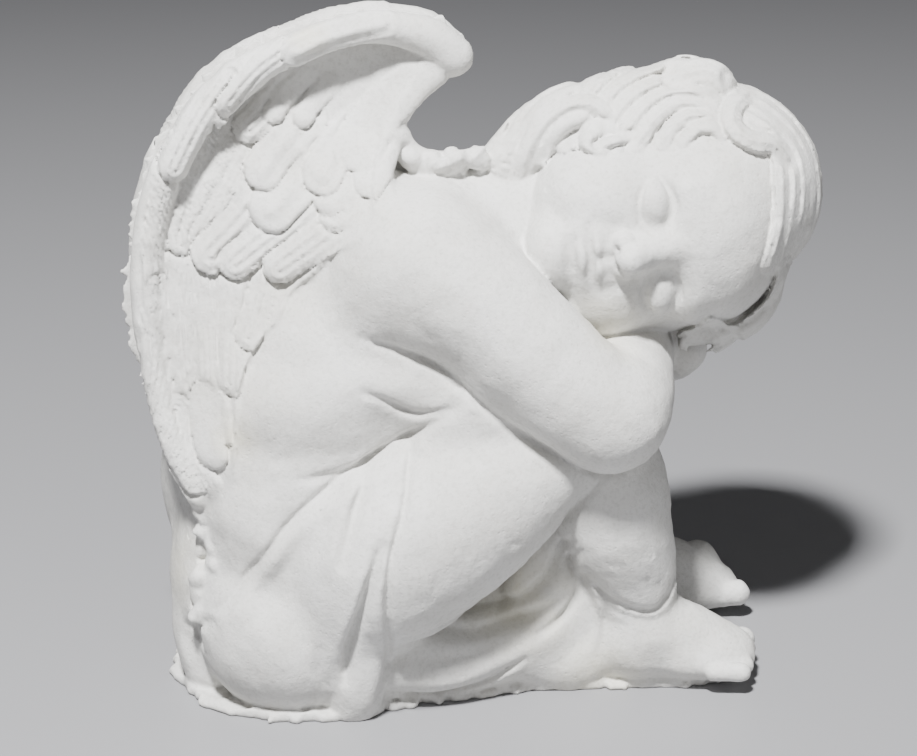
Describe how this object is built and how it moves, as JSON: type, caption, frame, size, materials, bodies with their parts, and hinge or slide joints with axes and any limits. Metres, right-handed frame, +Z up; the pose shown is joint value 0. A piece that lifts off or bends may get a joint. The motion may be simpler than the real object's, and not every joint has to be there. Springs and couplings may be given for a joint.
{
  "type": "cast stone sleeping cherub statue",
  "caption": "Winged cherub seated asleep with its head on arms folded over drawn-up knees, draped at the hips, cast in one piece with a thin rough base.",
  "frame": {"origin": "centre of the bounding box in plan, at the underside", "axes": "+X towards the figure's toes and the crown of its head, +Y towards its left side, +Z up"},
  "size_m": [0.304, 0.1794, 0.3016],
  "materials": {
    "cast_stone": "matt, unpainted"
  },
  "bodies": {
    "root": {"angel_statue": "cast_stone"}
  },
  "joints": []
}
